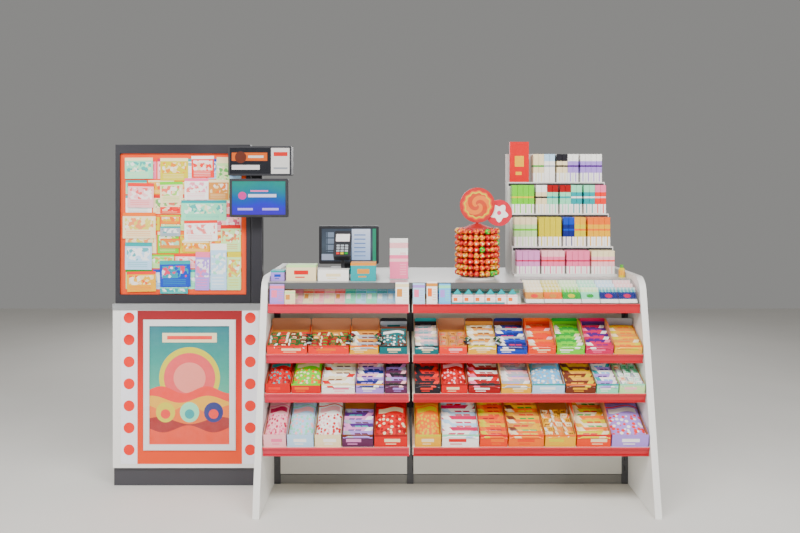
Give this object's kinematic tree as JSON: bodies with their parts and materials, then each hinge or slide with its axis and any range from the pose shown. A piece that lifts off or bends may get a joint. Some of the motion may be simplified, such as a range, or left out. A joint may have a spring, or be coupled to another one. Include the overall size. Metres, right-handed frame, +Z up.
{
  "type": "kiosk sales counter",
  "caption": "Kiosk counter with sloping sweet shelves, a glass-fronted display under its worktop and a poster wing.",
  "frame": {"origin": "on the floor, at the middle of the counter's width and depth", "axes": "+X to the customer's right, +Y away from the customer, +Z up"},
  "size_m": [2.381, 0.826, 1.587],
  "materials": {
    "white_laminate": "satin white melamine-faced chipboard",
    "graphite_laminate": "matt graphite melamine-faced chipboard",
    "grey_laminate": "fine-grained grey laminate",
    "orange_laminate": "satin orange laminate",
    "cream_steel": "cream powder-coated steel",
    "graphite_steel": "graphite powder-coated steel",
    "black_steel": "black powder-coated steel",
    "red_rail": "red extruded PVC",
    "pink_rail": "light red extruded PVC",
    "edge_aluminium": "satin anodised aluminium",
    "white_profile": "white-coated aluminium profile",
    "clear_glass": "clear float glass with green edges",
    "clear_plastic": "clear acrylic",
    "clear_acrylic": "clear bent acrylic",
    "printed_card": "printed card in pastel colours",
    "poster_paper": "coated poster paper",
    "carton_board": "printed folding carton filled with sweets",
    "black_plastic": "fine-textured black ABS",
    "white_plastic": "moulded white polystyrene",
    "orange_plastic": "glossy orange acrylic sheet",
    "yellow_plastic": "yellow polyethylene"
  },
  "bodies": {
    "counter": {"end_panel_left": "white_laminate", "end_panel_right": "white_laminate", "uprights": "graphite_steel", "back_panels": "white_laminate", "base_rails": "graphite_steel", "shelf_bottom": "cream_steel", "shelf_middle": "cream_steel", "shelf_upper": "cream_steel", "display_deck": "cream_steel", "shelf_brackets": "cream_steel", "price_rails_left": "pink_rail", "price_rails_right": "red_rail", "worktop": "grey_laminate", "worktop_edge": "edge_aluminium", "display_glass": "clear_glass", "ticket_stands": "printed_card", "card_case": "clear_plastic", "case_cards": "printed_card", "rear_divider": "white_laminate", "rear_bottom": "white_laminate", "rear_shelves": "white_laminate", "rear_plinth": "graphite_laminate", "wing_front": "white_laminate", "wing_side": "white_laminate", "wing_top": "grey_laminate", "wing_edge": "edge_aluminium", "wing_plinth": "graphite_laminate", "wing_shelves": "white_laminate", "dot_strips": "printed_card", "poster_field": "orange_laminate", "poster_frame": "white_profile", "poster_sheet": "poster_paper", "board_frame": "black_steel", "board_panel": "orange_laminate", "board_cards": "printed_card", "screen_post": "black_steel", "sign_box": "black_plastic", "lollipop_base": "white_plastic", "rack_frame": "black_steel", "rack_boxes": "carton_board", "rack_banner": "printed_card", "till_stand": "black_plastic", "till_screen": "black_plastic", "card_terminal": "black_plastic", "leaflet_stand": "clear_acrylic", "counter_boxes": "carton_board", "sweet_bottle": "yellow_plastic", "cartons_upper_left": "carton_board", "cartons_upper_right": "carton_board", "cartons_middle_left": "carton_board", "cartons_middle_right": "carton_board", "cartons_bottom_left": "carton_board", "cartons_bottom_right": "carton_board"},
    "lollipop_tower": {"lollipop_drum": "white_plastic", "lollipop_sign": "orange_plastic"},
    "customer_screen": {"screen": "black_plastic", "screen_bracket": "black_steel"}
  },
  "joints": [
    {"name": "tower_spin", "type": "hinge", "parent": "counter", "child": "lollipop_tower", "pos_m": [0.47, -0.037, 0.96], "axis": [0, 0, 1], "continuous": true},
    {"name": "screen_tilt", "type": "hinge", "parent": "counter", "child": "customer_screen", "pos_m": [-0.5385, -0.095, 1.314], "axis": [1, 0, 0], "range_deg": [-10, 15]}
  ]
}
